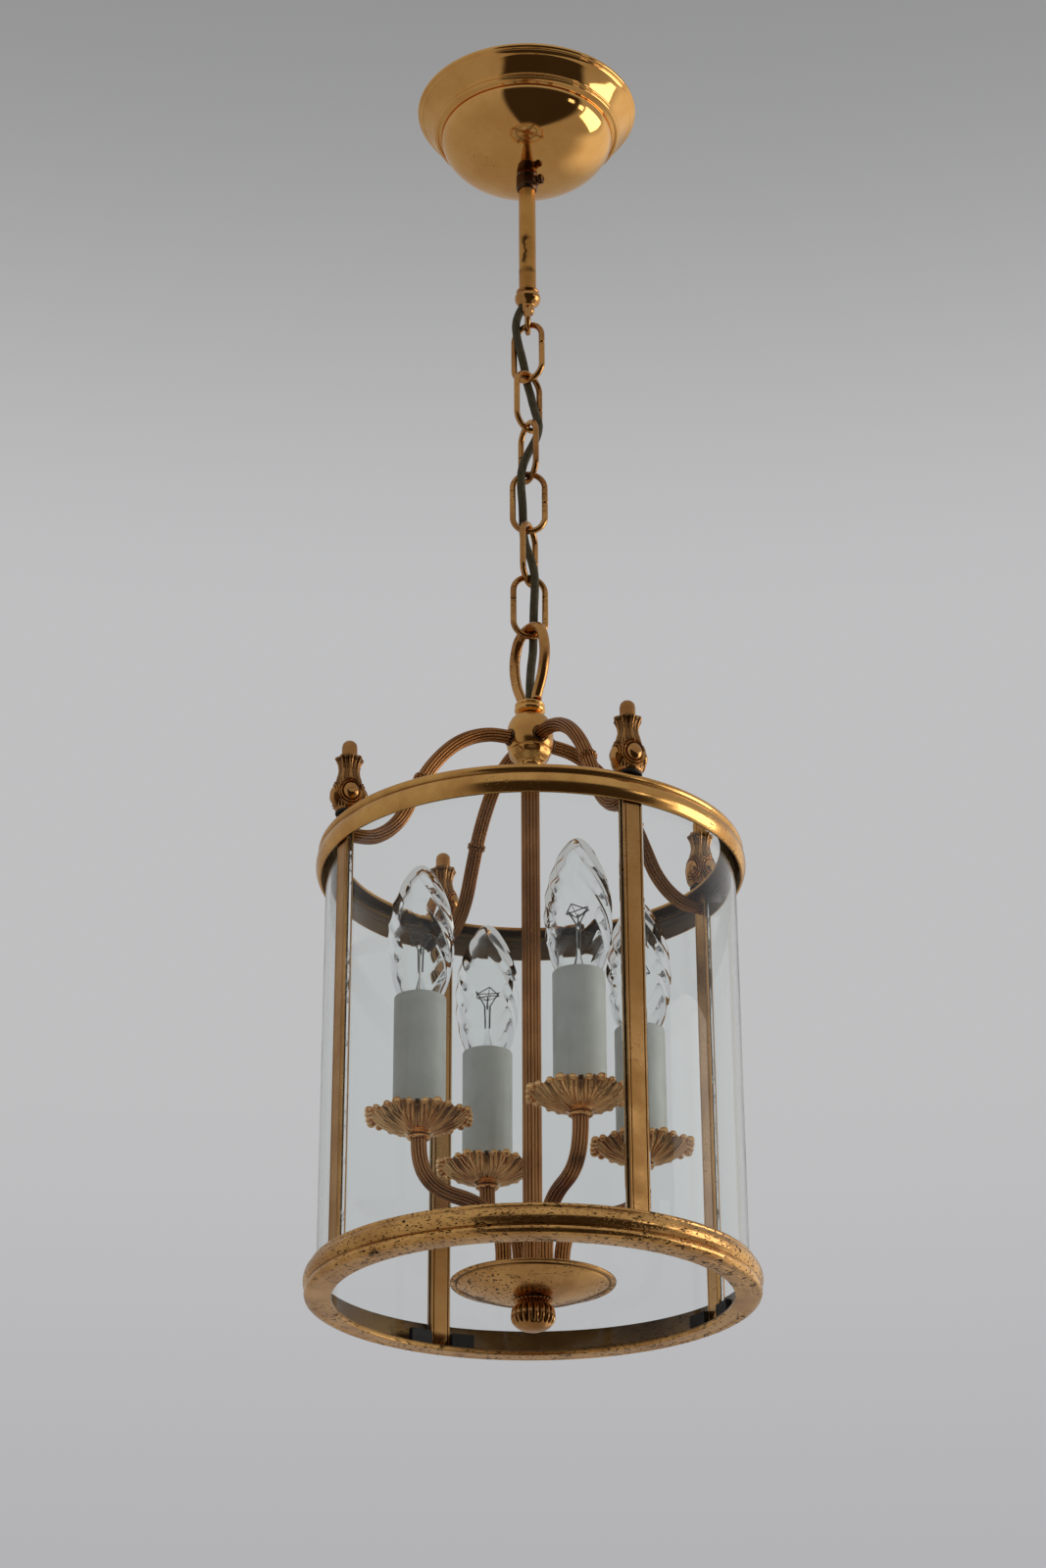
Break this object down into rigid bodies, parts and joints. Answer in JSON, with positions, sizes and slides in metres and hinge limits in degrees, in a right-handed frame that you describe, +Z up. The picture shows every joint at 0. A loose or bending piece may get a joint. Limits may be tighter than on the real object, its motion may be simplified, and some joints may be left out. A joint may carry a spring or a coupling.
{
  "type": "candle lantern",
  "caption": "Round brass hall lantern with curved glass panels and candle lights inside, hung from a ceiling canopy on a chain.",
  "frame": {"origin": "centre of the ceiling plate's top face, on the ceiling", "axes": "+Z up, along the stem and chain; the uprights stand on +X, +Y, -X and -Y"},
  "size_m": [0.2338, 0.2338, 0.751],
  "materials": {
    "polished_brass": "bright polished, lightly worn",
    "aged_brass": "polished and browned with age, fine spots",
    "spotted_brass": "aged brass with dark tarnish spots",
    "reeded_brass": "coppery brass drawn with fine reeds",
    "cast_brass": "cast rose-gold brass, dark in the hollows",
    "zinc_steel": "zinc plated",
    "panel_glass": "clear curved glass, greenish at the cut edges",
    "bulb_glass": "clear twisted glass",
    "sleeve_plastic": "off-white candle tube, satin",
    "olive_flex": "olive-green round flex, satin",
    "black_plastic": "black moulded"
  },
  "bodies": {
    "ceiling_fixture": {"ceiling_hook": "zinc_steel", "terminal_block": "black_plastic", "stem_eye": "aged_brass", "stem": "polished_brass", "stem_end": "aged_brass", "inner_flex": "olive_flex"},
    "canopy": {"canopy": "polished_brass", "grip_collar": "polished_brass"},
    "grip_screw": {"grip_screw": "polished_brass"},
    "link_1": {"chain_link_1": "aged_brass"},
    "link_2": {"chain_link_2": "aged_brass"},
    "link_3": {"chain_link_3": "aged_brass", "flex": "olive_flex"},
    "link_4": {"chain_link_4": "aged_brass"},
    "link_5": {"chain_link_5": "aged_brass"},
    "link_6": {"chain_link_6": "aged_brass"},
    "lantern": {"hanging_bow": "aged_brass", "neck_collar": "polished_brass", "hub": "polished_brass", "top_ring": "aged_brass", "bottom_ring": "spotted_brass", "centre_rod": "reeded_brass", "dish": "spotted_brass", "scroll_arm_1": "reeded_brass", "scroll_arm_2": "reeded_brass", "scroll_arm_3": "reeded_brass", "scroll_arm_4": "reeded_brass", "upright_1": "aged_brass", "upright_2": "aged_brass", "upright_3": "aged_brass", "upright_4": "aged_brass", "glass_panel_1": "panel_glass", "glass_panel_2": "panel_glass", "glass_panel_3": "panel_glass", "glass_panel_4": "panel_glass", "candle_arm_1": "reeded_brass", "candle_arm_2": "reeded_brass", "candle_arm_3": "reeded_brass", "candle_arm_4": "reeded_brass", "bobeche_1": "cast_brass", "bobeche_2": "cast_brass", "bobeche_3": "cast_brass", "bobeche_4": "cast_brass", "lamp_holder_1": "black_plastic", "lamp_holder_2": "black_plastic", "lamp_holder_3": "black_plastic", "lamp_holder_4": "black_plastic", "candle_sleeve_1": "sleeve_plastic", "candle_sleeve_2": "sleeve_plastic", "candle_sleeve_3": "sleeve_plastic", "candle_sleeve_4": "sleeve_plastic"},
    "finial_1": {"finial_1": "cast_brass"},
    "finial_2": {"finial_2": "cast_brass"},
    "finial_3": {"finial_3": "cast_brass"},
    "finial_4": {"finial_4": "cast_brass"},
    "bulb_1": {"bulb_1": "bulb_glass"},
    "bulb_2": {"bulb_2": "bulb_glass"},
    "bulb_3": {"bulb_3": "bulb_glass"},
    "bulb_4": {"bulb_4": "bulb_glass"},
    "knob": {"knob": "spotted_brass"}
  },
  "joints": [
    {"name": "canopy_slide", "type": "slide", "parent": "ceiling_fixture", "child": "canopy", "axis": [0, 0, -1], "range_m": [0, 0.07]},
    {"name": "grip_screw_turn", "type": "hinge", "parent": "canopy", "child": "grip_screw", "pos_m": [0, 0, -0.0532], "axis": [0.4695, -0.8829, 0], "range_deg": [0, 720]},
    {"name": "swing_1", "type": "hinge", "parent": "ceiling_fixture", "child": "link_1", "pos_m": [0, 0, -0.1575], "axis": [0.4695, 0.8829, 0], "range_deg": [-10, 10], "deforming": ["flex"]},
    {"name": "swing_2", "type": "hinge", "parent": "link_1", "child": "link_2", "pos_m": [0, 0, -0.1911], "axis": [0.5592, -0.829, 0], "range_deg": [-10, 10], "deforming": ["flex"]},
    {"name": "swing_3", "type": "hinge", "parent": "link_2", "child": "link_3", "pos_m": [0, 0, -0.2246], "axis": [0.9563, 0.2924, 0], "range_deg": [-10, 10], "deforming": ["flex"]},
    {"name": "swing_4", "type": "hinge", "parent": "link_3", "child": "link_4", "pos_m": [0, 0, -0.2581], "axis": [0, -1, 0], "range_deg": [-10, 10], "deforming": ["flex"]},
    {"name": "swing_5", "type": "hinge", "parent": "link_4", "child": "link_5", "pos_m": [0, 0, -0.2916], "axis": [0.8829, -0.4695, 0], "range_deg": [-10, 10], "deforming": ["flex"]},
    {"name": "swing_6", "type": "hinge", "parent": "link_5", "child": "link_6", "pos_m": [0, 0, -0.3251], "axis": [0.766, 0.6428, 0], "range_deg": [-10, 10], "deforming": ["flex"]},
    {"name": "swing_7", "type": "hinge", "parent": "link_6", "child": "lantern", "pos_m": [0, 0, -0.3586], "axis": [0.9703, -0.2419, 0], "range_deg": [-10, 10], "deforming": ["flex"]},
    {"name": "finial_turn_1", "type": "hinge", "parent": "lantern", "child": "finial_1", "pos_m": [0.107, 0, -0.4902], "axis": [0, 0, 1], "range_deg": [0, 900]},
    {"name": "finial_turn_2", "type": "hinge", "parent": "lantern", "child": "finial_2", "pos_m": [0, 0.107, -0.4902], "axis": [0, 0, 1], "range_deg": [0, 900]},
    {"name": "finial_turn_3", "type": "hinge", "parent": "lantern", "child": "finial_3", "pos_m": [-0.107, 0, -0.4902], "axis": [0, 0, 1], "range_deg": [0, 900]},
    {"name": "finial_turn_4", "type": "hinge", "parent": "lantern", "child": "finial_4", "pos_m": [0, -0.107, -0.4902], "axis": [0, 0, 1], "range_deg": [0, 900]},
    {"name": "bulb_turn_1", "type": "hinge", "parent": "lantern", "child": "bulb_1", "pos_m": [0.06166, -0.0055, -0.5905], "axis": [0, 0, 1], "range_deg": [0, 900]},
    {"name": "bulb_turn_2", "type": "hinge", "parent": "lantern", "child": "bulb_2", "pos_m": [0.0055, 0.06166, -0.5905], "axis": [0, 0, 1], "range_deg": [0, 900]},
    {"name": "bulb_turn_3", "type": "hinge", "parent": "lantern", "child": "bulb_3", "pos_m": [-0.06166, 0.0055, -0.5905], "axis": [0, 0, 1], "range_deg": [0, 900]},
    {"name": "bulb_turn_4", "type": "hinge", "parent": "lantern", "child": "bulb_4", "pos_m": [-0.0055, -0.06166, -0.5905], "axis": [0, 0, 1], "range_deg": [0, 900]},
    {"name": "knob_turn", "type": "hinge", "parent": "lantern", "child": "knob", "pos_m": [0, 0, -0.7355], "axis": [0, 0, -1], "range_deg": [0, 900]}
  ]
}
